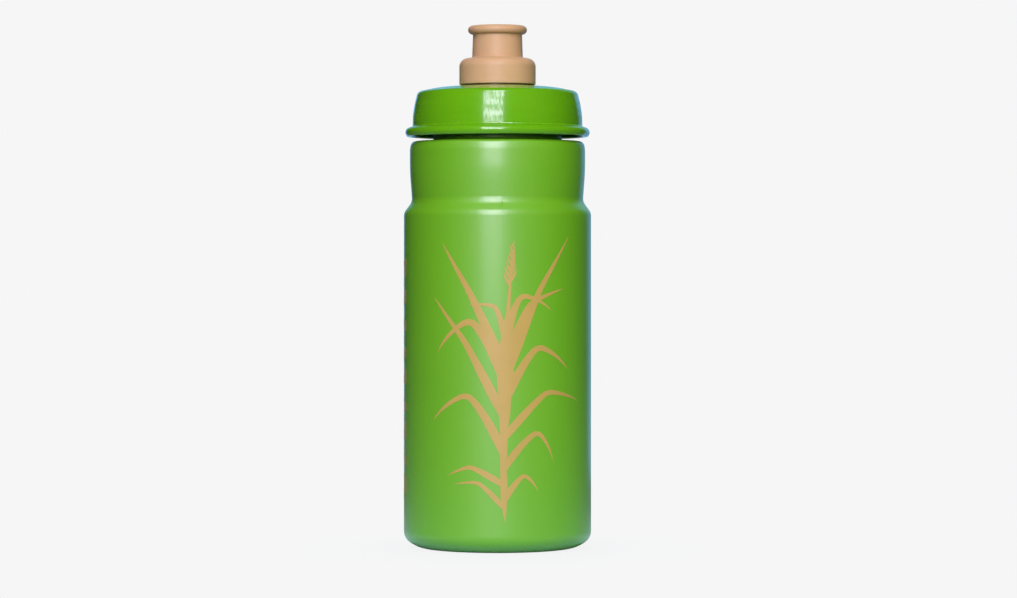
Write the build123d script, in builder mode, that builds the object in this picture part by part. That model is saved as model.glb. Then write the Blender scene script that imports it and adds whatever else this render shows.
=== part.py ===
from build123d import *
from math import radians, tan
import os

os.makedirs("parts", exist_ok=True)

# A squeeze bottle for a bicycle's bottle cage. Millimetres, +Z up, with the origin
# at the middle of the foot. Every piece is round about Z.

# The most of an outline's side that its two corner rounds may take up
round_share = 0.98

# ---- Bottle body: a blown shell with one wall, a waist for the cage's tab, a neck
barrel_radius = 37.0
body_wall = 1.2
pushup_height = 3.0
pushup_flat = 8.0
pushup_round = 30.0
foot_inset = 14.5
foot_inner_round = 8.0
foot_ring_width = 3.0
foot_ring_round = 35.0
foot_rise = 0.5
foot_bevel_radial = 5.45
foot_bevel_axial = 3.57
foot_lower_round = 11.8
foot_upper_round = 5.2
barrel_height = 132.65
barrel_edge_round = 4.0
waist_depth = 3.25
waist_rise = 4.4
waist_round = 4.2
collar_inset = 2.35
collar_swell_rise = 11.7
collar_swell_round = 100.0
collar_height = 23.7
collar_lean = 0.55
collar_lean_drop = 3.2
collar_lean_round = 8.0
collar_round = 2.1
shoulder_width = 9.25
shoulder_dome = 0.4
neck_root_round = 0.8
neck_height = 16.5
neck_wall = 1.8
neck_rim_round = 0.45

# ---- Screw thread between the neck and the cap, right-handed
thread_pitch = 5.0
thread_depth = 1.3
thread_root_width = 2.4
thread_crest_width = 1.2
thread_sink = 0.25
thread_turns = 1.25
cap_thread_turns = 0.9
thread_drop_from_rim = 2.8
thread_play = 0.3
crest_clearance = 0.3

# ---- Cap: a thin outer cover with a flared lip, and a threaded skirt inside it
cap_wall = 1.6
cap_gap = 1.7
lip_overhang = 2.65
lip_undercut = 1.64
lip_height = 3.0
lip_slope = 1.3
lip_round = 1.9
lip_edge_round = 0.65
cap_wall_inset = 1.07
cap_root_round = 0.5
cap_bend_drop = 8.0
cap_draft = 2.0
cap_wall_curve = 40.0
cap_top_round = 2.2
cap_crown_inset = 7.5
cap_crown_rise = 1.55
cap_crown_round = 35.0
cap_dome = 2.35
cap_flat_margin = 1.6
cap_flat_round = 30.0
skirt_wall = 1.8
skirt_tail = 0.8
gasket_width = 3.2
gasket_thickness = 1.6
gasket_land = 3.9

# ---- Valve base: snaps into the cap's middle and carries the plug
valve_flange_margin = 1.4
valve_flange_thickness = 1.4
valve_flange_round = 0.4
valve_foot_step = 1.0
valve_foot_length = 3.6
valve_hole_clearance = 0.1
snap_reach = 0.6
snap_height = 1.3
snap_gap = 0.1
seat_step = 0.6
seat_height = 0.8
head_radius = 7.6
head_length = 7.4
stem_step = 0.6
stem_wall = 1.4
plug_clearance = 0.05
plug_top_round = 1.6
spider_height = 6.0
spider_rib = 1.4
spider_ribs = 3
spider_start = 90.0

# ---- Seals of the valve
base_seal_inset = 1.0
base_seal_width = 2.4
base_seal_height = 0.8
base_seal_round = 0.25
oring_height = 1.6
oring_depth = 1.1
oring_round = 0.5
oring_drop = 2.2

# ---- Mouthpiece: a hard sleeve that slides on the stem, inside a soft moulded grip
pull_travel = 6.5
stop_gap = 0.1
seat_gap = 0.1
slide_clearance = 0.05
sleeve_wall = 0.95
sleeve_lip = 1.4
grip_gap = 0.45
grip_clearance = 0.7
grip_wall = 1.6
grip_skirt_height = 10.5
grip_skirt_round = 3.4
grip_hem_round = 0.45
grip_root_round = 0.7
grip_neck_wall = 1.45
grip_neck_taper = 0.35
grip_neck_height = 9.45
bite_lip_reach = 1.95
bite_lip_thickness = 3.4
bite_lip_round = 1.7
outlet_radius = 4.0
outlet_depth = 2.6
outlet_round = 0.5
grip_ceiling = 1.8

# ---- Places that follow from those sizes
waist_radius = barrel_radius - waist_depth
collar_radius = barrel_radius - collar_inset
neck_radius = collar_radius - shoulder_width
neck_bore = neck_radius - neck_wall
waist_z = barrel_height + waist_rise
shoulder_z = waist_z + collar_height
neck_top = shoulder_z + neck_height
thread_z = neck_top - thread_drop_from_rim - thread_pitch * thread_turns
cap_thread_z = thread_z - (thread_root_width + thread_crest_width) / 2 - thread_play
skirt_radius = neck_radius + thread_depth + crest_clearance
skirt_bottom = cap_thread_z - thread_root_width / 2 - skirt_tail
cap_bottom = shoulder_z + cap_gap
land_z = neck_top + gasket_thickness
cap_corner_z = land_z + cap_wall
cap_top = cap_corner_z + cap_dome
cap_under = cap_top - cap_wall
cap_lip_radius = collar_radius + lip_overhang
cap_side_radius = collar_radius - cap_wall_inset
cap_corner_radius = cap_side_radius - cap_draft
stem_radius = head_radius - stem_step
valve_bore_radius = stem_radius - stem_wall
valve_foot_radius = stem_radius + valve_foot_step
sleeve_bore = head_radius + slide_clearance
sleeve_radius = sleeve_bore + sleeve_wall
seat_radius = sleeve_radius + seat_step
plug_radius = outlet_radius - plug_clearance
base_seal_inner = valve_foot_radius + base_seal_inset
base_seal_outer = base_seal_inner + base_seal_width
valve_flange_radius = base_seal_outer + valve_flange_margin
flange_top = cap_top + valve_flange_thickness
seat_top = flange_top + seat_height
sleeve_bottom = seat_top + seat_gap
step_z = sleeve_bottom + sleeve_lip + pull_travel + stop_gap
head_top = step_z + head_length
oring_z = head_top - oring_drop
grip_radius = valve_flange_radius + grip_clearance + grip_wall
grip_neck_radius = sleeve_radius + grip_neck_wall
bite_lip_radius = grip_neck_radius - grip_neck_taper + bite_lip_reach
grip_bottom = cap_top + grip_gap
grip_shoulder = grip_bottom + grip_skirt_height
grip_neck_top = grip_shoulder + grip_neck_height
grip_top = grip_neck_top + bite_lip_thickness
sleeve_top = grip_top - outlet_depth
plug_top = grip_top - outlet_round


def fitted_rounds(points, radii):
    # An open outline's corner rounds, made smaller where two don't fit on the side between them
    sides = [Vector(*end) - Vector(*start) for start, end in zip(points, points[1:])]
    turns = [radians(before.get_angle(after)) for before, after in zip(sides, sides[1:])]
    reach = [0.0, *(radius * tan(turn / 2) for radius, turn in zip(radii, turns)), 0.0]
    fits = [
        min(1.0, round_share * side.length / (start + end))
        for side, start, end in zip(sides, reach, reach[1:])
    ]
    return [radius * min(before, after) for radius, before, after in zip(radii, fits, fits[1:])]


# ---- bottle_body
body_points = (
    (0, pushup_height),
    (pushup_flat, pushup_height),
    (barrel_radius - foot_inset, 0),
    (barrel_radius - foot_inset + foot_ring_width, 0),
    (barrel_radius - foot_bevel_radial, foot_rise),
    (barrel_radius, foot_rise + foot_bevel_axial),
    (barrel_radius, barrel_height),
    (waist_radius, waist_z),
    (collar_radius, waist_z + collar_swell_rise),
    (collar_radius, shoulder_z - collar_lean_drop),
    (collar_radius - collar_lean, shoulder_z),
    (neck_radius, shoulder_z + shoulder_dome),
    (neck_radius, neck_top),
)
body_rounds = (
    pushup_round,
    foot_inner_round,
    foot_ring_round,
    foot_lower_round,
    foot_upper_round,
    barrel_edge_round,
    waist_round,
    collar_swell_round,
    collar_lean_round,
    collar_round,
    neck_root_round,
)
with BuildPart() as bottle_body:
    with BuildSketch(Plane.XZ):
        with BuildLine():
            FilletPolyline(*body_points, radius=fitted_rounds(body_points, body_rounds))
            offset(amount=body_wall, side=Side.LEFT)
        make_face()
    revolve(axis=Axis.Z)
    # The neck is thicker than the blown wall, to carry the thread.
    with BuildSketch(Plane.XZ):
        with BuildLine():
            Polyline(
                (neck_bore, shoulder_z + neck_wall),
                (neck_radius - body_wall / 2, shoulder_z + body_wall / 2),
                (neck_radius - body_wall / 2, neck_top),
                (neck_bore, neck_top),
                close=True,
            )
        make_face()
    revolve(axis=Axis.Z)
    fillet(bottle_body.faces().sort_by(Axis.Z)[-1].edges(), radius=neck_rim_round)
    # Male thread
    with BuildLine() as neck_helix:
        Helix(
            pitch=thread_pitch,
            height=thread_pitch * thread_turns,
            radius=neck_radius,
            center=(0, 0, thread_z),
        )
    with BuildSketch(Plane.XZ):
        with BuildLine():
            Polyline(
                (neck_radius - thread_sink, thread_z - thread_root_width / 2),
                (neck_radius, thread_z - thread_root_width / 2),
                (neck_radius + thread_depth, thread_z - thread_crest_width / 2),
                (neck_radius + thread_depth, thread_z + thread_crest_width / 2),
                (neck_radius, thread_z + thread_root_width / 2),
                (neck_radius - thread_sink, thread_z + thread_root_width / 2),
                close=True,
            )
        make_face()
    sweep(path=neck_helix.line, is_frenet=True)
bottle_body.part.label = "bottle_body"
export_step(bottle_body.part, "parts/bottle_body.step")

# ---- cap_shell
cap_points = (
    (cap_lip_radius - lip_undercut, cap_bottom),
    (cap_lip_radius, cap_bottom + lip_height),
    (cap_side_radius, cap_bottom + lip_height + lip_slope),
    (cap_side_radius, cap_corner_z - cap_bend_drop),
    (cap_corner_radius, cap_corner_z),
    (cap_corner_radius - cap_crown_inset, cap_corner_z + cap_crown_rise),
    (valve_flange_radius + cap_flat_margin, cap_top),
    (valve_foot_radius + valve_hole_clearance, cap_top),
)
cap_rounds = (
    lip_round,
    cap_root_round,
    cap_wall_curve,
    cap_top_round,
    cap_crown_round,
    cap_flat_round,
)
with BuildPart() as cap_shell:
    with BuildSketch(Plane.XZ) as cap_section:
        with BuildLine():
            FilletPolyline(*cap_points, radius=fitted_rounds(cap_points, cap_rounds))
            offset(amount=cap_wall, side=Side.LEFT)
        make_face()
        fillet(cap_section.vertices().sort_by(Axis.Y)[:2], radius=lip_edge_round)
    revolve(axis=Axis.Z)
    with BuildSketch(Plane.XZ):
        with BuildLine():
            Polyline(
                (skirt_radius, skirt_bottom),
                (skirt_radius + skirt_wall, skirt_bottom),
                (skirt_radius + skirt_wall, cap_corner_z),
                (skirt_radius - gasket_land, cap_corner_z),
                (skirt_radius - gasket_land, land_z),
                (skirt_radius, land_z),
                close=True,
            )
        make_face()
    revolve(axis=Axis.Z)
    # Female thread: the same helix, just under the neck's
    with BuildLine() as cap_helix:
        Helix(
            pitch=thread_pitch,
            height=thread_pitch * cap_thread_turns,
            radius=skirt_radius,
            center=(0, 0, cap_thread_z),
        )
    with BuildSketch(Plane.XZ):
        with BuildLine():
            Polyline(
                (skirt_radius + thread_sink, cap_thread_z - thread_root_width / 2),
                (skirt_radius, cap_thread_z - thread_root_width / 2),
                (skirt_radius - thread_depth, cap_thread_z - thread_crest_width / 2),
                (skirt_radius - thread_depth, cap_thread_z + thread_crest_width / 2),
                (skirt_radius, cap_thread_z + thread_root_width / 2),
                (skirt_radius + thread_sink, cap_thread_z + thread_root_width / 2),
                close=True,
            )
        make_face()
    sweep(path=cap_helix.line, is_frenet=True)
cap_shell.part.label = "cap_shell"
export_step(cap_shell.part, "parts/cap_shell.step")

# ---- cap_gasket: lies in the cap and closes on the neck's rim
with BuildPart() as cap_gasket:
    with BuildSketch(Plane.XY.offset(neck_top)):
        Circle(skirt_radius - crest_clearance)
        Circle(skirt_radius - crest_clearance - gasket_width, mode=Mode.SUBTRACT)
    extrude(amount=gasket_thickness)
cap_gasket.part.label = "cap_gasket"
export_step(cap_gasket.part, "parts/cap_gasket.step")

# ---- valve_base
with BuildPart() as valve_base:
    with BuildSketch(Plane.XZ) as valve_section:
        with BuildLine():
            Polyline(
                (valve_bore_radius, cap_top - valve_foot_length),
                (valve_foot_radius, cap_top - valve_foot_length),
                (valve_foot_radius + snap_reach, cap_under - snap_gap - snap_height / 2),
                (valve_foot_radius + snap_reach, cap_under - snap_gap),
                (valve_foot_radius, cap_under - snap_gap),
                (valve_foot_radius, cap_top),
                (base_seal_inner, cap_top),
                (base_seal_inner, cap_top + base_seal_height),
                (base_seal_outer, cap_top + base_seal_height),
                (base_seal_outer, cap_top),
                (valve_flange_radius, cap_top),
                (valve_flange_radius, flange_top),
                (seat_radius, flange_top),
                (seat_radius, seat_top),
                (stem_radius, seat_top),
                (stem_radius, step_z),
                (head_radius, step_z),
                (head_radius, oring_z - oring_height),
                (head_radius - oring_depth, oring_z - oring_height),
                (head_radius - oring_depth, oring_z),
                (head_radius, oring_z),
                (head_radius, head_top),
                (valve_bore_radius, head_top),
                close=True,
            )
        make_face()
        flange_corner = valve_section.vertices().group_by(Axis.X)[-1].sort_by(Axis.Y)[-1]
        fillet(flange_corner, radius=valve_flange_round)
    revolve(axis=Axis.Z)
    # Ribs carry the plug in the middle of the waterway.
    with BuildSketch(Plane.XY.offset(head_top - spider_height)):
        with PolarLocations(0, spider_ribs, start_angle=spider_start):
            Rectangle(
                (valve_bore_radius + head_radius - oring_depth) / 2,
                spider_rib,
                align=(Align.MIN, Align.CENTER),
            )
    extrude(amount=spider_height)
    with BuildSketch(Plane.XY.offset(head_top - spider_height)):
        Circle(plug_radius)
    extrude(amount=plug_top - head_top + spider_height)
    fillet(valve_base.faces().sort_by(Axis.Z)[-1].edges(), radius=plug_top_round)
valve_base.part.label = "valve_base"
export_step(valve_base.part, "parts/valve_base.step")

# ---- valve_base_seal: under the flange, on the cap's top
with BuildPart() as valve_base_seal:
    with BuildSketch(Plane.XZ):
        with Locations(((base_seal_inner + base_seal_outer) / 2, cap_top + base_seal_height / 2)):
            RectangleRounded(base_seal_outer - base_seal_inner, base_seal_height, base_seal_round)
    revolve(axis=Axis.Z)
valve_base_seal.part.label = "valve_base_seal"
export_step(valve_base_seal.part, "parts/valve_base_seal.step")

# ---- stem_oring: in the groove of the stem's head
with BuildPart() as stem_oring:
    with BuildSketch(Plane.XZ):
        with Locations((head_radius - oring_depth / 2, oring_z - oring_height / 2)):
            RectangleRounded(oring_depth, oring_height, oring_round)
    revolve(axis=Axis.Z)
stem_oring.part.label = "stem_oring"
export_step(stem_oring.part, "parts/stem_oring.step")

# ---- mouthpiece_core: its bottom lip catches under the stem's head when pulled
with BuildPart() as mouthpiece_core:
    with BuildSketch(Plane.XZ):
        with BuildLine():
            Polyline(
                (stem_radius + slide_clearance, sleeve_bottom),
                (sleeve_radius, sleeve_bottom),
                (sleeve_radius, sleeve_top),
                (sleeve_bore, sleeve_top),
                (sleeve_bore, sleeve_bottom + sleeve_lip),
                (stem_radius + slide_clearance, sleeve_bottom + sleeve_lip),
                close=True,
            )
        make_face()
    revolve(axis=Axis.Z)
mouthpiece_core.part.label = "mouthpiece_core"
export_step(mouthpiece_core.part, "parts/mouthpiece_core.step")

# ---- mouthpiece_grip: a bell-shaped skirt, a neck and a bite lip round the outlet
with BuildPart() as mouthpiece_grip:
    with BuildSketch(Plane.XZ):
        with BuildLine():
            FilletPolyline(
                (sleeve_radius, sleeve_bottom),
                (sleeve_radius + grip_wall, sleeve_bottom),
                (sleeve_radius + grip_wall, grip_shoulder - grip_ceiling),
                (grip_radius - grip_wall, grip_shoulder - grip_ceiling),
                (grip_radius - grip_wall, grip_bottom),
                (grip_radius, grip_bottom),
                (grip_radius, grip_shoulder),
                (grip_neck_radius, grip_shoulder),
                (grip_neck_radius - grip_neck_taper, grip_neck_top),
                (bite_lip_radius, grip_neck_top),
                (bite_lip_radius, grip_top),
                (outlet_radius, grip_top),
                (outlet_radius, sleeve_top),
                (sleeve_radius, sleeve_top),
                close=True,
                radius=(
                    0,
                    0,
                    grip_hem_round,
                    grip_skirt_round - grip_wall,
                    grip_hem_round,
                    grip_hem_round,
                    grip_skirt_round,
                    grip_root_round,
                    grip_hem_round,
                    bite_lip_round,
                    bite_lip_round,
                    outlet_round,
                    0,
                    0,
                ),
            )
        make_face()
    revolve(axis=Axis.Z)
mouthpiece_grip.part.label = "mouthpiece_grip"
export_step(mouthpiece_grip.part, "parts/mouthpiece_grip.step")
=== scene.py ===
import math

import bpy
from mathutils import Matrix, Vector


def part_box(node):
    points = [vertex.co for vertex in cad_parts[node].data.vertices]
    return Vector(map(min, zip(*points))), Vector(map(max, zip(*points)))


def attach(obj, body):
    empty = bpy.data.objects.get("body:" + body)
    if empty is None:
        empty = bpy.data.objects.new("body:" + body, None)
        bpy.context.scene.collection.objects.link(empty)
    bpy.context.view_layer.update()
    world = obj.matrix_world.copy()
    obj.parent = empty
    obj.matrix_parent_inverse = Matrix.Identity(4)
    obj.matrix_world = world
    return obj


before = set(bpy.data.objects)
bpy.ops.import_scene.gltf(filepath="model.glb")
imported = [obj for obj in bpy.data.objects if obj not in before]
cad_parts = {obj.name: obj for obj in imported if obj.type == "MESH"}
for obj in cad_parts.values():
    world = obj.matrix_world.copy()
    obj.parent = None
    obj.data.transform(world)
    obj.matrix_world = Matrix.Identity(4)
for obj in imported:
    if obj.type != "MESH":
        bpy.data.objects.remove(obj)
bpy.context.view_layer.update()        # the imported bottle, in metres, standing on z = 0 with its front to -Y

mm = 0.001
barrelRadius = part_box("bottle_body")[1].x


# small helpers for objects and node trees

sharpAngle = math.radians(40)


def addObject(name, data):
    made = bpy.data.objects.new(name, data)
    bpy.context.scene.collection.objects.link(made)
    return made


def newGroup(kind, name, inputs, outputs):
    group = bpy.data.node_groups.new(name, kind)
    for direction, sockets in (("INPUT", inputs), ("OUTPUT", outputs)):
        for label, (socketType, value) in sockets.items():
            socket = group.interface.new_socket(label, in_out=direction, socket_type="NodeSocket" + socketType)
            if value is not None:
                socket.default_value = value
    return group


def fillInputs(tree, node, inputs):
    for label, value in inputs.items():
        if isinstance(value, bpy.types.NodeSocket):
            tree.links.new(value, node.inputs[label])
        else:
            node.inputs[label].default_value = value


def addNode(tree, nodeType, inputs=None, **settings):
    node = tree.nodes.new(nodeType)
    for setting, value in settings.items():
        setattr(node, setting, value)
    fillInputs(tree, node, inputs or {})
    return node


def calc(tree, operation, first, second=0.0):
    return addNode(tree, "ShaderNodeMath", {0: first, 1: second}, operation=operation).outputs[0]


def makeVector(tree, x=0.0, y=0.0, z=0.0):
    return addNode(tree, "ShaderNodeCombineXYZ", {"X": x, "Y": y, "Z": z}).outputs[0]


def stretchVector(tree, place, factors):
    return addNode(tree, "ShaderNodeVectorMath", {0: place, 1: factors}, operation="MULTIPLY").outputs[0]


def remap(tree, value, low, high, toLow=0.0, toHigh=1.0):
    return addNode(tree, "ShaderNodeMapRange", {
        "Value": value, "From Min": low, "From Max": high, "To Min": toLow, "To Max": toHigh,
    }).outputs["Result"]


def mixColour(tree, factor, first, second):
    return addNode(tree, "ShaderNodeMix", {"Factor": factor, 6: first, 7: second}, data_type="RGBA").outputs[2]


def noise(tree, place, scale, detail, roughness=0.5):
    return addNode(tree, "ShaderNodeTexNoise", {
        "Vector": place, "Scale": scale, "Detail": detail, "Roughness": roughness,
    }).outputs["Fac"]


def growPiece(name, guide, tree, values, body):
    # runs a geometry tree on a guide mesh and keeps the result as a plain mesh that rides on a body
    modifier = guide.modifiers.new("grow", "NODES")
    modifier.node_group = tree
    for item in tree.interface.items_tree:
        if item.in_out == "INPUT" and item.name in values:
            modifier[item.identifier] = values[item.name]
    evaluated = guide.evaluated_get(bpy.context.evaluated_depsgraph_get())
    mesh = bpy.data.meshes.new_from_object(evaluated)
    guide.modifiers.remove(modifier)
    bpy.data.objects.remove(guide)
    mesh.name = name
    mesh.shade_smooth()
    mesh.set_sharp_from_angle(angle=sharpAngle)
    piece = addObject(name, mesh)
    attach(piece, body)
    return piece


def guideMesh(name, strokes):
    # strokes are lists of ((x, y, z), half width, layer); each becomes one open run of edges
    points, edges, widths, layers = [], [], [], []
    for stroke in strokes:
        first = len(points)
        for place, halfWidth, layer in stroke:
            points.append(place)
            widths.append(halfWidth)
            layers.append(layer)
        edges += [(index, index + 1) for index in range(first, len(points) - 1)]
    mesh = bpy.data.meshes.new(name)
    mesh.from_pydata(points, edges, [])
    mesh.attributes.new("halfWidth", "FLOAT", "POINT").data.foreach_set("value", widths)
    mesh.attributes.new("layer", "FLOAT", "POINT").data.foreach_set("value", layers)
    return addObject(name, mesh)


# effects that several materials share

noiseSpan = (0.3, 0.7)               # nearly all of a noise lies between these


def makeMouldGrain():
    # the fine pebble that a sand-blasted mould leaves, with a slow ripple under it
    group = newGroup(
        "ShaderNodeTree", "mouldGrain",
        {"Position": ("Vector", None), "Grain Size": ("Float", 0.0004),
         "Ripple Size": ("Float", 0.008), "Ripple": ("Float", 0.5)},
        {"Height": ("Float", None), "Mask": ("Float", None)},
    )
    start = addNode(group, "NodeGroupInput").outputs
    grain = noise(group, start["Position"], calc(group, "DIVIDE", 1.0, start["Grain Size"]), 3.0, 0.6)
    ripple = noise(group, start["Position"], calc(group, "DIVIDE", 1.0, start["Ripple Size"]), 1.0, 0.4)
    height = calc(group, "ADD", grain, calc(group, "MULTIPLY", ripple, start["Ripple"]))
    addNode(group, "NodeGroupOutput", {"Height": height, "Mask": grain})
    return group


def makePigmentClouds():
    # pigment is never stirred in quite evenly: slow, soft patches between two close colours
    group = newGroup(
        "ShaderNodeTree", "pigmentClouds",
        {"Position": ("Vector", None), "Colour": ("Color", None), "Deep Colour": ("Color", None),
         "Patch Size": ("Float", 0.03), "Amount": ("Float", 0.5)},
        {"Colour": ("Color", None)},
    )
    start = addNode(group, "NodeGroupInput").outputs
    cloud = noise(group, start["Position"], calc(group, "DIVIDE", 1.0, start["Patch Size"]), 3.0)
    amount = calc(group, "MULTIPLY", remap(group, cloud, *noiseSpan), start["Amount"])
    addNode(group, "NodeGroupOutput", {"Colour": mixColour(group, amount, start["Colour"], start["Deep Colour"])})
    return group


waveStretch = (60.0, 60.0, 400.0)    # each wave is about 16 mm across and 2.5 mm high


def makeDrawLines():
    # fine lines that run up the piece, as a tool or a blow mould leaves them, crossed by a few slow waves
    group = newGroup(
        "ShaderNodeTree", "drawLines",
        {"Position": ("Vector", None), "Lines Round": ("Float", 200.0),
         "Length": ("Float", 0.02), "Waves": ("Float", 0.3)},
        {"Height": ("Float", None)},
    )
    start = addNode(group, "NodeGroupInput").outputs
    place = addNode(group, "ShaderNodeSeparateXYZ", {0: start["Position"]}).outputs
    turn = calc(group, "ARCTAN2", place["X"], place["Y"])
    stretched = makeVector(
        group, calc(group, "MULTIPLY", turn, start["Lines Round"]), calc(group, "DIVIDE", place["Z"], start["Length"]),
    )
    lines = noise(group, stretched, 1.0, 2.0)
    waves = noise(group, stretchVector(group, start["Position"], waveStretch), 1.0, 1.0)
    height = calc(group, "ADD", lines, calc(group, "MULTIPLY", waves, start["Waves"]))
    addNode(group, "NodeGroupOutput", {"Height": height})
    return group


scuffs = {
    "turns": (0.4, 1.9, 2.7),        # radians about the axis, one for each direction of scuff
    "axis": (0.35, 0.25, 0.9),
    "stretch": (1.0, 1.0, 14.0),
    "span": (0.66, 0.74),            # how rare and how crisp they are
    "patchScale": 40.0,              # patches about 25 mm across
    "patchTop": 0.85,
}


def makeHandMarks():
    # hair-fine scuffs in a few directions, kept to patches where hands and cages rub
    group = newGroup(
        "ShaderNodeTree", "handMarks",
        {"Position": ("Vector", None), "Mark Length": ("Float", 0.006),
         "Coverage": ("Float", 0.3), "Seed": ("Float", 0.0)},
        {"Mask": ("Float", None)},
    )
    start = addNode(group, "NodeGroupInput").outputs
    density = calc(group, "DIVIDE", 1.0, start["Mark Length"])
    found = None
    for turn in scuffs["turns"]:
        turned = addNode(group, "ShaderNodeVectorRotate", {
            "Vector": start["Position"], "Angle": turn, "Axis": scuffs["axis"],
        }).outputs[0]
        hair = addNode(group, "ShaderNodeTexNoise", {
            "Vector": stretchVector(group, turned, scuffs["stretch"]), "W": start["Seed"], "Scale": density,
            "Detail": 2.0, "Distortion": 0.2,
        }, noise_dimensions="4D").outputs["Fac"]
        line = remap(group, hair, *scuffs["span"])
        found = line if found is None else calc(group, "MAXIMUM", found, line)
    patch = noise(group, start["Position"], scuffs["patchScale"], 2.0)
    kept = remap(group, patch, calc(group, "SUBTRACT", 0.8, start["Coverage"]), scuffs["patchTop"])
    addNode(group, "NodeGroupOutput", {"Mask": calc(group, "MULTIPLY", found, kept)})
    return group


mouldGrain = makeMouldGrain()
pigmentClouds = makePigmentClouds()
drawLines = makeDrawLines()
handMarks = makeHandMarks()
print("shared effects ready:", len(bpy.data.node_groups))


# finishes

def startMaterial(name):
    material = bpy.data.materials.new(name)
    material.use_nodes = True
    tree = material.node_tree
    position = addNode(tree, "ShaderNodeTexCoord").outputs["Object"]
    return material, tree, tree.nodes["Principled BSDF"], position


def cloudedColour(tree, position, look):
    return addNode(tree, "ShaderNodeGroup", {
        "Position": position, "Colour": (*look["colour"], 1.0), "Deep Colour": (*look["deepColour"], 1.0),
        "Patch Size": look["patchSize"], "Amount": look["patchAmount"],
    }, node_tree=pigmentClouds).outputs["Colour"]


def grainedSurface(tree, position, look):
    # the grain's bump, and a roughness that follows it
    grain = addNode(tree, "ShaderNodeGroup", {
        "Position": position, "Grain Size": look["grainSize"],
        "Ripple Size": look["rippleSize"], "Ripple": look["ripple"],
    }, node_tree=mouldGrain).outputs
    bump = addNode(tree, "ShaderNodeBump", {"Height": grain["Height"], "Distance": look["grainDepth"]}).outputs[0]
    middle, spread = look["roughness"], look["roughnessSpread"]
    return bump, remap(tree, grain["Mask"], *noiseSpan, middle - spread, middle + spread)


def plasticMaterial(name, look):
    material, tree, shader, position = startMaterial(name)
    marks = addNode(tree, "ShaderNodeGroup", {
        "Position": position, "Mark Length": look["markLength"],
        "Coverage": look["markCoverage"], "Seed": look["seed"],
    }, node_tree=handMarks).outputs["Mask"]
    lines = addNode(tree, "ShaderNodeGroup", {
        "Position": position, "Lines Round": look["linesRound"],
        "Length": look["lineLength"], "Waves": look["waves"],
    }, node_tree=drawLines).outputs["Height"]
    lighter = calc(tree, "MULTIPLY", marks, look["markLighten"])
    rougher = calc(tree, "MULTIPLY", marks, look["markRoughen"])
    grainBump, grainRoughness = grainedSurface(tree, position, look)
    lineBump = addNode(tree, "ShaderNodeBump", {
        "Height": lines, "Distance": look["lineDepth"], "Normal": grainBump,
    }).outputs[0]
    fillInputs(tree, shader, {
        "Base Color": mixColour(tree, lighter, cloudedColour(tree, position, look), (*look["markColour"], 1.0)),
        "Roughness": calc(tree, "ADD", grainRoughness, rougher),
        "Normal": lineBump,
        "IOR": look["ior"],
        "Specular IOR Level": look["gloss"],
        "Subsurface Weight": look["glow"],
        "Subsurface Radius": look["glowReach"],
        "Subsurface Scale": 1.0,
        "Coat Weight": look["coat"],
        "Coat Roughness": look["coatRoughness"],
    })
    if look["coatStreaks"]:
        # the lines break up the shine
        middle, soft = 0.5 + 0.5 * look["waves"], look["streakSoftness"]
        dullest = look["coat"] * (1 - look["coatStreaks"])
        streaks = remap(tree, lines, middle - soft, middle + soft, dullest, look["coat"])
        fillInputs(tree, shader, {"Coat Weight": streaks})
    return material


plainLook = {
    "patchSize": 0.03, "patchAmount": 0.5,
    "grainSize": 0.0005, "rippleSize": 0.009, "ripple": 0.4, "grainDepth": 0.000004,
    "linesRound": 160.0, "lineLength": 0.03, "waves": 0.2, "lineDepth": 0.0,
    "coatStreaks": 0.0, "streakSoftness": 0.1,
    "markLength": 0.004, "markCoverage": 0.25, "markLighten": 0.15, "markRoughen": 0.08,
    "markColour": (0.8, 0.8, 0.8),
    "roughness": 0.35, "roughnessSpread": 0.03, "ior": 1.5, "gloss": 0.5,
    "glow": 0.0, "glowReach": (0.001, 0.001, 0.001), "coat": 0.0, "coatRoughness": 0.1, "seed": 0.0,
}

bodyLook = {
    **plainLook,
    "colour": (0.12, 0.378, 0.003), "deepColour": (0.107, 0.358, 0.003), "patchSize": 0.035,
    "grainSize": 0.0006, "rippleSize": 0.012, "ripple": 1.2, "grainDepth": 0.000006,
    "linesRound": 30.0, "lineLength": 0.06, "waves": 0.4, "lineDepth": 0.000008,
    "roughness": 0.52, "gloss": 0.6, "coat": 0.85, "coatRoughness": 0.25, "seed": 1.0,
}
capLook = {
    **plainLook,
    "colour": (0.102, 0.342, 0.004), "deepColour": (0.09, 0.318, 0.003),
    "grainSize": 0.0004, "rippleSize": 0.006, "ripple": 0.8, "grainDepth": 0.000002,
    "linesRound": 60.0, "lineLength": 0.003, "waves": 0.8, "lineDepth": 0.000012, "coatStreaks": 0.85,
    "roughness": 0.22, "roughnessSpread": 0.02, "gloss": 0.2, "coat": 1.0, "coatRoughness": 0.08, "seed": 2.0,
}
gripLook = {
    **plainLook,
    "colour": (0.49, 0.33, 0.155), "deepColour": (0.46, 0.3, 0.135), "patchSize": 0.012,
    "grainSize": 0.00035, "rippleSize": 0.006, "ripple": 0.5, "grainDepth": 0.000006,
    "roughness": 0.46, "gloss": 0.28, "markColour": (0.75, 0.65, 0.55),
    "glow": 0.25, "glowReach": (0.003, 0.0015, 0.0008), "seed": 3.0,
}
valveLook = {
    **plainLook,
    "colour": (0.46, 0.265, 0.14), "deepColour": (0.43, 0.24, 0.12), "patchSize": 0.01,
    "grainSize": 0.0003, "grainDepth": 0.000002, "roughness": 0.22, "seed": 4.0,
}
gasketLook = {
    **plainLook,
    "colour": (0.34, 0.34, 0.33), "deepColour": (0.28, 0.28, 0.275), "patchSize": 0.006,
    "grainSize": 0.00025, "grainDepth": 0.00001, "roughness": 0.6, "gloss": 0.4, "seed": 5.0,
}
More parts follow.
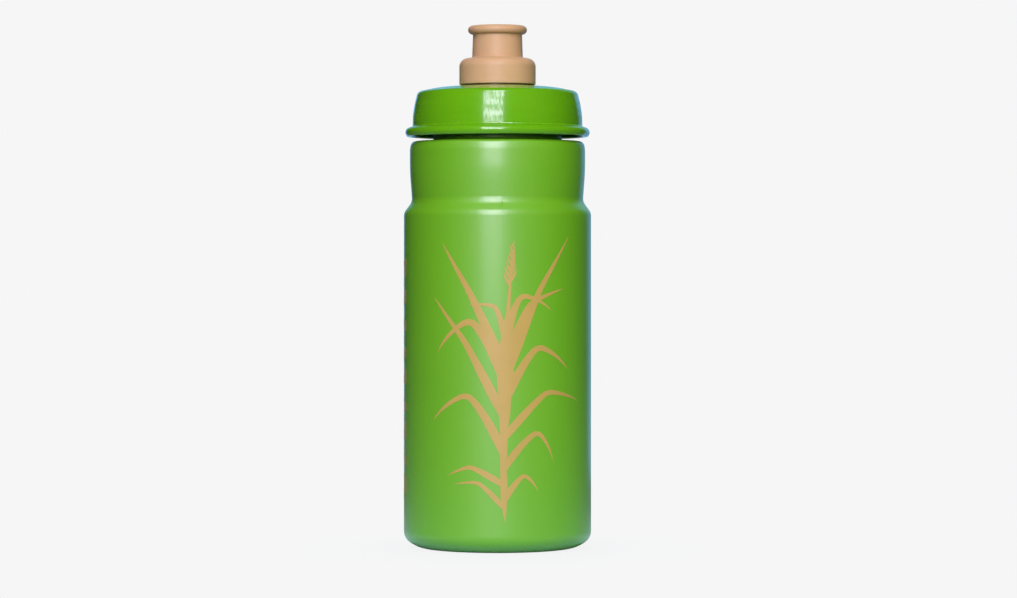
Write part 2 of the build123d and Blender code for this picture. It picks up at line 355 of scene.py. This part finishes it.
oringLook = {
    **plainLook,
    "colour": (0.022, 0.022, 0.023), "deepColour": (0.035, 0.034, 0.033), "patchSize": 0.003,
    "grainSize": 0.0002, "grainDepth": 0.000008, "roughness": 0.5, "seed": 6.0,
}
nodeLooks = {
    "bottle_body": ("bodyGreen", bodyLook),
    "cap_shell": ("capGreen", capLook),
    "mouthpiece_grip": ("gripTan", gripLook),
    "valve_base": ("valveTan", valveLook),
    "mouthpiece_core": ("sleeveTan", {**valveLook, "roughness": 0.26, "seed": 7.0}),
    "cap_gasket": ("gasketGrey", gasketLook),
    "valve_base_seal": ("sealGrey", {**gasketLook, "colour": (0.4, 0.39, 0.37), "seed": 8.0}),
    "stem_oring": ("oringBlack", oringLook),
}
for nodeName, (materialName, look) in nodeLooks.items():
    finish = plasticMaterial(materialName, look)
    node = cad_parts[nodeName]
    for materialSlot in node.material_slots:
        materialSlot.material = finish
    if not node.material_slots:
        node.data.materials.append(finish)
print("finishes on the packed pieces:", len(nodeLooks))


# prints, rolled onto the barrel

def inkMaterial(name, ink):
    material, tree, shader, position = startMaterial(name)
    screen = addNode(tree, "ShaderNodeTexVoronoi", {"Vector": position, "Scale": 1.0 / ink["screenPitch"]})
    thinned = remap(tree, screen.outputs["Distance"], 0.0, ink["dotReach"], ink["screenThin"], 0.0)
    bump, roughness = grainedSurface(tree, position, ink)
    fillInputs(tree, shader, {
        "Base Color": mixColour(tree, thinned, cloudedColour(tree, position, ink), (*ink["deepColour"], 1.0)),
        "Roughness": roughness,
        "Normal": bump,
        "Specular IOR Level": ink["gloss"],
    })
    return material


rollSockets = {
    "Barrel Radius": ("Float", 0.037), "Azimuth": ("Float", 0.0), "Ink Thickness": ("Float", 0.00006),
    "Layer Step": ("Float", 0.000003), "Sink": ("Float", 0.0001), "Material": ("Material", None),
}
rollValues = {
    "Barrel Radius": barrelRadius, "Ink Thickness": 0.05 * mm,
    "Layer Step": 0.0015 * mm,           # strokes that cross lie this far apart
    "Sink": 0.15 * mm,                   # the underside is this far inside the barrel's skin
}


def rollOntoBarrel(tree, flat, start):
    # flat prints lie in XY with Z outwards; X goes round the barrel, Y up it
    place = addNode(tree, "ShaderNodeSeparateXYZ", {
        0: addNode(tree, "GeometryNodeInputPosition").outputs[0],
    }).outputs
    layer = addNode(tree, "GeometryNodeInputNamedAttribute", {"Name": "layer"}, data_type="FLOAT").outputs[0]
    outside = calc(tree, "GREATER_THAN", place["Z"], 0.0)
    proud = calc(tree, "ADD", start["Ink Thickness"], calc(tree, "MULTIPLY", layer, start["Layer Step"]))
    lift = calc(tree, "MULTIPLY", outside, calc(tree, "ADD", proud, start["Sink"]))
    radius = calc(tree, "ADD", start["Barrel Radius"], calc(tree, "SUBTRACT", lift, start["Sink"]))
    turn = calc(tree, "ADD", calc(tree, "DIVIDE", place["X"], start["Barrel Radius"]), start["Azimuth"])
    towardsBack = calc(tree, "MULTIPLY", calc(tree, "COSINE", turn), -1.0)
    rolled = makeVector(
        tree, calc(tree, "MULTIPLY", radius, calc(tree, "SINE", turn)),
        calc(tree, "MULTIPLY", radius, towardsBack), place["Y"],
    )
    return addNode(tree, "GeometryNodeSetPosition", {"Geometry": flat, "Position": rolled}).outputs[0]


def strokeRibbons(tree, curves, halfWidth, slices):
    # a closed strip, two units across, swept along each stroke and scaled to its half width
    profile = addNode(tree, "GeometryNodeCurvePrimitiveQuadrilateral", {"Width": 2.0, "Height": 2.0}).outputs[0]
    profile = addNode(tree, "GeometryNodeSubdivideCurve", {"Curve": profile, "Cuts": slices}).outputs[0]
    upright = addNode(tree, "GeometryNodeSetCurveNormal", {"Curve": curves}, mode="Z_UP").outputs[0]
    return addNode(tree, "GeometryNodeCurveToMesh", {
        "Curve": upright, "Profile Curve": profile, "Scale": halfWidth, "Fill Caps": True,
    }).outputs[0]


def evenCurve(tree, guide, step):
    curve = addNode(tree, "GeometryNodeMeshToCurve", {0: guide}).outputs[0]
    return addNode(tree, "GeometryNodeResampleCurve", {"Curve": curve, "Length": step}, mode="LENGTH").outputs[0]


def finishTree(tree, geometry, start):
    real = addNode(tree, "GeometryNodeRealizeInstances", {0: geometry}).outputs[0]
    painted = addNode(tree, "GeometryNodeSetMaterial", {"Geometry": real, "Material": start["Material"]}).outputs[0]
    addNode(tree, "NodeGroupOutput", {0: painted})
    return tree


def makeStrokePrintTree():
    tree = newGroup(
        "GeometryNodeTree", "strokePrint",
        {"Strokes": ("Geometry", None), "Stroke Step": ("Float", 0.0007), "Slices": ("Int", 5), **rollSockets},
        {"Print": ("Geometry", None)},
    )
    start = addNode(tree, "NodeGroupInput").outputs
    curves = evenCurve(tree, start["Strokes"], start["Stroke Step"])
    halfWidth = addNode(tree, "GeometryNodeInputNamedAttribute", {"Name": "halfWidth"}, data_type="FLOAT").outputs[0]
    flat = strokeRibbons(tree, curves, halfWidth, start["Slices"])
    return finishTree(tree, rollOntoBarrel(tree, flat, start), start)


def makeBarColumnTree():
    tree = newGroup(
        "GeometryNodeTree", "barColumn",
        {"Nothing": ("Geometry", None), "Count": ("Int", 8), "Pitch": ("Float", 0.012), "Lowest": ("Float", 0.02),
         "Bar Length": ("Float", 0.008), "Shortest": ("Float", 0.5), "Half Width": ("Float", 0.001),
         "End Power": ("Float", 8.0), "Bar Points": ("Int", 9), "Slices": ("Int", 3), "Seed": ("Int", 1),
         **rollSockets},
        {"Print": ("Geometry", None)},
    )
    start = addNode(tree, "NodeGroupInput").outputs
    points = addNode(tree, "GeometryNodeMeshLine", {
        "Count": start["Count"], "Start Location": makeVector(tree, y=start["Lowest"]),
        "Offset": makeVector(tree, y=start["Pitch"]),
    }).outputs[0]
    bar = addNode(tree, "GeometryNodeCurvePrimitiveLine", {"End": makeVector(tree, y=start["Bar Length"])}).outputs[0]
    bar = addNode(tree, "GeometryNodeResampleCurve", {"Curve": bar, "Count": start["Bar Points"]}).outputs[0]
    share = addNode(tree, "FunctionNodeRandomValue", {
        2: start["Shortest"], 3: 1.0, "Seed": start["Seed"],
    }, data_type="FLOAT").outputs[1]
    bars = addNode(tree, "GeometryNodeInstanceOnPoints", {
        "Points": points, "Instance": bar, "Scale": makeVector(tree, 1.0, share, 1.0),
    }).outputs[0]
    bars = addNode(tree, "GeometryNodeRealizeInstances", {0: bars}).outputs[0]
    # round ends: the half width falls away over the last part of each bar
    along = addNode(tree, "GeometryNodeSplineParameter").outputs["Factor"]
    fromMiddle = calc(tree, "ABSOLUTE", calc(tree, "SUBTRACT", calc(tree, "MULTIPLY", along, 2.0), 1.0))
    taper = calc(tree, "SUBTRACT", 1.02, calc(tree, "POWER", fromMiddle, start["End Power"]))
    halfWidth = calc(tree, "MULTIPLY", calc(tree, "SQRT", taper), start["Half Width"])
    flat = strokeRibbons(tree, bars, halfWidth, start["Slices"])
    return finishTree(tree, rollOntoBarrel(tree, flat, start), start)


plantPrint = {
    "azimuth": 4.2,          # degrees to the right of the front
    "stem": (                # height, sideways, width, in mm
        (12.6, 0.2, 0.1), (17, 0.0, 1.5), (24, -0.2, 2.8), (34, -0.4, 2.6), (46, -0.3, 3.0), (58, 0.1, 4.6),
        (68, 0.3, 6.4), (78, 0.5, 6.2), (86, 0.9, 3.6), (95, 1.5, 1.5), (106, 2.2, 0.9), (118, 3.0, 0.7),
    ),
    "leaves": (              # root height, side, lean, droop, length, width, in mm and degrees
        (18, -1, 42, 62, 24, 2.6),
        (21, 1, 30, 128, 21, 3.0),
        (27, -1, 58, 62, 25, 3.1),
        (33, 1, 34, 136, 33, 3.5),
        (39, -1, 24, 118, 45, 4.2),
        (45, 1, 40, 74, 42, 3.8),
        (53, -1, 27, 14, 55, 4.4),
        (59, 1, 24, 116, 42, 4.3),
        (66, -1, 20, 132, 47, 4.8),
        (68, 1, 21, 16, 62, 4.2),
        (72, -1, 25, 8, 55, 4.5),
        (75, 1, 20, 58, 40, 3.9),
        (80, 1, 8, 126, 35, 3.9),
        (81, -1, 10, 92, 26, 3.1),
    ),
    "leafShape": {           # shares of the leaf's length or width, from its root
        "rootWidth": 0.62, "widestAt": 0.3, "tipPower": 0.7, "thinnest": 0.04,
        "bendPower": 1.7, "fold": 0.5, "foldWidth": 0.16, "foldShare": 0.55,
    },
    "seedHead": {
        "low": 105, "high": 118, "pairs": 6, "length": 5.4, "width": 1.7, "lean": 34, "droop": 24,
        "stagger": 0.06, "shrink": 0.45, "straighten": 0.4, "points": 10,
    },
    "stemPoints": 60,
    "leafPoints": 26,
    "strokeStep": 0.7,
    "slices": 5,
    "ink": {
        "colour": (0.43, 0.3, 0.07), "deepColour": (0.37, 0.28, 0.05), "patchSize": 0.012, "patchAmount": 0.6,
        "screenPitch": 0.00035, "dotReach": 0.6, "screenThin": 0.35,
        "grainSize": 0.00035, "rippleSize": 0.004, "ripple": 0.5, "grainDepth": 0.000005,
        "roughness": 0.42, "roughnessSpread": 0.04, "gloss": 0.45,
    },
}


def ease(share):
    return share * share * (3 - 2 * share)


def between(rows, height, column):
    # a stem measure at any height, between the rows given
    for low, high in zip(rows, rows[1:]):
        if height <= high[0]:
            share = ease((height - low[0]) / (high[0] - low[0]))
            return low[column] + (high[column] - low[column]) * share
    return rows[-1][column]


def leafStroke(plant, root, side, lean, droop, length, width, layer, count):
    # a leaf bends slowly over its length and folds over more sharply past its middle
    shape = plant["leafShape"]
    stroke = []
    x, y = between(plant["stem"], root, 1), root
    for step in range(count + 1):
        share = step / count
        widening = math.sin(min(1.0, share / shape["widestAt"]) * math.pi / 2)
        swell = shape["rootWidth"] + (1 - shape["rootWidth"]) * widening
        halfWidth = max(shape["thinnest"], width / 2 * swell * (1 - share) ** shape["tipPower"])
        stroke.append(((x * mm, y * mm, 0.0), halfWidth * mm, layer))
        folded = ease(min(1.0, max(0.0, (share - shape["fold"]) / shape["foldWidth"])))
        bend = (1 - shape["foldShare"]) * share ** shape["bendPower"] + shape["foldShare"] * folded
        heading = math.radians(lean + droop * bend)
        x += side * math.sin(heading) * length / count
        y += math.cos(heading) * length / count
    return stroke


def plantStrokes(plant):
    stem, head = plant["stem"], plant["seedHead"]
    low, high = stem[0][0], stem[-1][0]
    stemStroke = []
    for step in range(plant["stemPoints"] + 1):
        height = low + (high - low) * step / plant["stemPoints"]
        place = (between(stem, height, 1) * mm, height * mm, 0.0)
        stemStroke.append((place, between(stem, height, 2) / 2 * mm, 0))
    strokes = [stemStroke]
    for layer, leaf in enumerate(plant["leaves"], 1):
        strokes.append(leafStroke(plant, *leaf, layer, plant["leafPoints"]))
    for pair in range(head["pairs"]):
        share = pair / (head["pairs"] - 1)
        size = 1.0 - head["shrink"] * share
        for side in (-1, 1):
            root = head["low"] + (head["high"] - head["low"]) * (share + head["stagger"] * side)
            strokes.append(leafStroke(
                plant, root, side, head["lean"] * (1 - head["straighten"] * share), -head["droop"],
                head["length"] * size, head["width"] * size, len(strokes), head["points"],
            ))
    return strokes


growPiece(
    "plant_print", guideMesh("plantGuide", plantStrokes(plantPrint)), makeStrokePrintTree(),
    {**rollValues, "Stroke Step": plantPrint["strokeStep"] * mm, "Slices": plantPrint["slices"],
     "Azimuth": math.radians(plantPrint["azimuth"]), "Material": inkMaterial("plantInk", plantPrint["ink"])},
    "bottle",
)
print("plant print rolled onto the barrel")

barColumns = (               # lengths in mm, azimuth in degrees
    {
        "name": "side_bars", "azimuth": -79.0, "count": 9, "lowest": 22.0, "pitch": 10.6, "length": 8.4,
        "shortest": 0.45, "halfWidth": 1.5, "seed": 4,
        "ink": {**plantPrint["ink"], "colour": (0.5, 0.19, 0.07), "deepColour": (0.42, 0.16, 0.05)},
    },
    {
        "name": "side_bars_outer", "azimuth": -87.0, "count": 13, "lowest": 20.0, "pitch": 7.6, "length": 5.6,
        "shortest": 0.35, "halfWidth": 0.9, "seed": 9,
        "ink": plantPrint["ink"],
    },
)
barColumn = makeBarColumnTree()
for column in barColumns:
    growPiece(
        column["name"], guideMesh(column["name"] + "Guide", []), barColumn,
        {**rollValues, "Azimuth": math.radians(column["azimuth"]), "Count": column["count"],
         "Lowest": column["lowest"] * mm, "Pitch": column["pitch"] * mm, "Bar Length": column["length"] * mm,
         "Shortest": column["shortest"], "Half Width": column["halfWidth"] * mm, "Seed": column["seed"],
         "Material": inkMaterial(column["name"] + "Ink", column["ink"])},
        "bottle",
    )
print("side bars:", sum(column["count"] for column in barColumns))


# the mould's parting line

partingLine = {              # lengths in mm
    "azimuth": 2.8,          # degrees to the right of the front; the other half is straight behind
    "top": 160.2,            # above the foot
    "clear": 6.0,            # how far outside the body the guide runs
    "bend": 14.0,            # the guide's bend round the foot
    "bendStep": 5,           # degrees between the bend's points
    "beadRadius": 0.5,       # a round bead, sunk until only its top stands proud
    "proud": 0.012,
    "step": 0.5,
}


def makePartingLineTree():
    # a guide outside the body is dropped onto it, square to its own path, and swept as a low bead
    tree = newGroup(
        "GeometryNodeTree", "partingBead",
        {"Guide": ("Geometry", None), "Body": ("Object", None), "Bead Radius": ("Float", 0.0005),
         "Proud": ("Float", 0.00003), "Step": ("Float", 0.0005), "Azimuth": ("Float", 0.0),
         "Longest Drop": ("Float", 0.04), "Sides": ("Int", 24), "Material": ("Material", None)},
        {"Bead": ("Geometry", None)},
    )
    start = addNode(tree, "NodeGroupInput").outputs
    curve = evenCurve(tree, start["Guide"], start["Step"])
    across = makeVector(tree, calc(tree, "COSINE", start["Azimuth"]), calc(tree, "SINE", start["Azimuth"]))
    along = addNode(tree, "GeometryNodeInputTangent").outputs[0]
    inward = addNode(tree, "ShaderNodeVectorMath", {0: across, 1: along}, operation="CROSS_PRODUCT").outputs[0]
    hit = addNode(tree, "GeometryNodeRaycast", {
        "Target Geometry": addNode(tree, "GeometryNodeObjectInfo", {"Object": start["Body"]}).outputs["Geometry"],
        "Source Position": addNode(tree, "GeometryNodeInputPosition").outputs[0],
        "Ray Direction": inward, "Ray Length": start["Longest Drop"],
    }).outputs
    sunk = addNode(tree, "ShaderNodeVectorMath", {
        0: inward, "Scale": calc(tree, "SUBTRACT", start["Bead Radius"], start["Proud"]),
    }, operation="SCALE").outputs[0]
    curve = addNode(tree, "GeometryNodeSetPosition", {
        "Geometry": curve, "Selection": hit["Is Hit"], "Position": hit["Hit Position"], "Offset": sunk,
    }).outputs[0]
    profile = addNode(tree, "GeometryNodeCurvePrimitiveCircle", {
        "Resolution": start["Sides"], "Radius": start["Bead Radius"],
    }).outputs[0]
    bead = addNode(tree, "GeometryNodeCurveToMesh", {
        "Curve": curve, "Profile Curve": profile, "Fill Caps": True,
    }).outputs[0]
    return finishTree(tree, bead, start)


def partingGuide(line):
    # down the front, round the foot and up the back, all in one upright plane
    low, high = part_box("bottle_body")
    radius = high.x + line["clear"] * mm
    bottom = low.z - line["clear"] * mm
    bend = line["bend"] * mm
    half = [(radius, line["top"] * mm)]
    for degrees in range(0, 91, line["bendStep"]):
        turn = math.radians(degrees)
        half.append((radius - bend + bend * math.cos(turn), bottom + bend - bend * math.sin(turn)))
    whole = half + [(-across, height) for across, height in reversed(half)]
    azimuth = math.radians(line["azimuth"])
    return [[((across * math.sin(azimuth), -across * math.cos(azimuth), height), 0.0, 0) for across, height in whole]]


growPiece(
    "parting_line", guideMesh("partingGuide", partingGuide(partingLine)), makePartingLineTree(),
    {"Body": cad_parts["bottle_body"], "Bead Radius": partingLine["beadRadius"] * mm,
     "Proud": partingLine["proud"] * mm, "Step": partingLine["step"] * mm,
     "Azimuth": math.radians(partingLine["azimuth"]),
     "Material": plasticMaterial("partingGreen", {**bodyLook, "seed": 9.0})},
    "bottle",
)
print("parting line swept round the body")


# studio

studio = {
    "backdrop": (0.922, 0.922, 0.922),
    "dim": (0.012, 0.016, 0.02),
    "floorHalf": 6.0,
    "floorPaintedPool": (0.42, 0.66, 0.66),    # a painted pool of light: the paper is painted bright and cool under and beside the bottle, so that more light bounces up onto its foot
    "floorPaintedFalloff": (0.12, 0.12, 0.12),     # painted falloff: further off the paper is painted darker, so that it lights the sides less
    "nearReach": 0.06,
    "farReach": 0.3,
    "floorShade": 0.05,
    "shadeStart": 0.04,
    "shadeReach": 0.09,
    "panelTarget": (0.0, 0.0, 0.15),
}
keyColour = (0.97, 0.87, 1.12)
panels = {   # azimuth and elevation of the middle, in degrees; across and up are the angles that it covers
    "keyPanel": {
        "azimuth": -5.7, "elevation": 38.0, "across": 26.0, "up": 36.0, "distance": 1.25,
        "radiance": 11.5, "colour": keyColour, "lightsPaint": True, "shines": True,
    },
    "keyLower": {
        "azimuth": -5.7, "elevation": 11.0, "across": 26.0, "up": 18.0, "distance": 1.25,
        "radiance": 11.0, "colour": keyColour, "lightsPaint": True, "shines": True,
    },
    "backPanel": {
        "azimuth": 172.0, "elevation": 12.0, "across": 62.0, "up": 60.0, "distance": 0.44,
        "radiance": 0.9, "colour": (0.25, 0.58, 1.0), "lightsPaint": False, "shines": True,
    },
    "backFill": {
        "azimuth": 180.0, "elevation": 38.0, "across": 44.0, "up": 36.0, "distance": 1.3,
        "radiance": 5.5, "colour": (0.97, 0.92, 1.0), "lightsPaint": True, "shines": False,
    },
    "sideFill": {
        "azimuth": 48.0, "elevation": 20.0, "across": 40.0, "up": 40.0, "distance": 1.3,
        "radiance": 1.1, "colour": (1.0, 0.95, 0.6), "lightsPaint": True, "shines": False,
    },
}


def hangPanel(name, panel, target):
    turn, rise = math.radians(panel["azimuth"]), math.radians(panel["elevation"])
    towards = (math.sin(turn) * math.cos(rise), -math.cos(turn) * math.cos(rise), math.sin(rise))
    light = bpy.data.lights.new(name, "AREA")
    light.shape = "RECTANGLE"
    light.size = 2 * panel["distance"] * math.tan(math.radians(panel["across"] / 2))
    light.size_y = 2 * panel["distance"] * math.tan(math.radians(panel["up"] / 2))
    light.energy = panel["radiance"] * math.pi * light.size * light.size_y
    light.color = panel["colour"]
    lamp = addObject(name, light)
    lamp.location = [target[axis] + towards[axis] * panel["distance"] for axis in range(3)]
    lamp.rotation_euler = (math.pi / 2 - rise, 0.0, turn)
    lamp.visible_camera = False
    lamp.visible_diffuse = panel["lightsPaint"]
    lamp.visible_glossy = panel["shines"]


def makeAir():
    # dim to everything but the camera, which sees the pale backdrop
    world = bpy.data.worlds.new("studioAir")
    world.use_nodes = True
    tree = world.node_tree
    tree.nodes.clear()
    dim = addNode(tree, "ShaderNodeBackground", {"Color": (*studio["dim"], 1.0)}).outputs[0]
    pale = addNode(tree, "ShaderNodeBackground", {"Color": (*studio["backdrop"], 1.0)}).outputs[0]
    seen = addNode(tree, "ShaderNodeLightPath").outputs["Is Camera Ray"]
    mixed = addNode(tree, "ShaderNodeMixShader", {0: seen, 1: dim, 2: pale}).outputs[0]
    addNode(tree, "ShaderNodeOutputWorld", {"Surface": mixed})
    return world


def makePaper():
    # the camera sees the backdrop's plain tone, with a little of the real shade close to the foot
    paper = bpy.data.materials.new("floorPaper")
    paper.use_nodes = True
    tree = paper.node_tree
    tree.nodes.clear()
    plain = addNode(tree, "ShaderNodeEmission", {"Color": (*studio["backdrop"], 1.0)}).outputs[0]
    place = addNode(tree, "ShaderNodeTexCoord").outputs["Object"]
    away = addNode(tree, "ShaderNodeVectorMath", {0: place}, operation="LENGTH").outputs["Value"]
    # painted pool of light: the floor's colour is bright and cool near the foot and fades to dark further off,
    # standing in for the light that falls there
    further = remap(tree, away, studio["nearReach"], studio["farReach"])
    tone = mixColour(tree, further, (*studio["floorPaintedPool"], 1.0), (*studio["floorPaintedFalloff"], 1.0))
    lit = addNode(tree, "ShaderNodeBsdfDiffuse", {"Color": tone}).outputs[0]
    shade = remap(tree, away, studio["shadeStart"], studio["shadeReach"], studio["floorShade"], 0.0)
    seen = addNode(tree, "ShaderNodeLightPath").outputs["Is Camera Ray"]
    plainShare = calc(tree, "MULTIPLY", seen, calc(tree, "SUBTRACT", 1.0, shade))
    mixed = addNode(tree, "ShaderNodeMixShader", {0: plainShare, 1: lit, 2: plain}).outputs[0]
    addNode(tree, "ShaderNodeOutputMaterial", {"Surface": mixed})
    return paper


for panelName, panel in panels.items():
    hangPanel(panelName, panel, studio["panelTarget"])
bpy.context.scene.world = makeAir()

half = studio["floorHalf"]
floorMesh = bpy.data.meshes.new("floor")
floorMesh.from_pydata([(-half, -half, 0), (half, -half, 0), (half, half, 0), (-half, half, 0)], [], [(0, 1, 2, 3)])
floorMesh.materials.append(makePaper())
floor = addObject("floor", floorMesh)

viewSetup = {"distance": 1.424, "height": 0.1108, "lens": 127.4, "sensor": 36.0, "shiftX": 0.0108, "shiftY": -0.0305}
cameraData = bpy.data.cameras.new("camera")
cameraData.lens = viewSetup["lens"]
cameraData.sensor_width = viewSetup["sensor"]
cameraData.shift_x = viewSetup["shiftX"]
cameraData.shift_y = viewSetup["shiftY"]
camera = addObject("camera", cameraData)
camera.location = (0.0, -viewSetup["distance"], viewSetup["height"])
camera.rotation_euler = (math.pi / 2, 0.0, 0.0)
bpy.context.scene.camera = camera
bpy.context.scene.view_settings.view_transform = "Standard"
print("studio, floor and camera set")
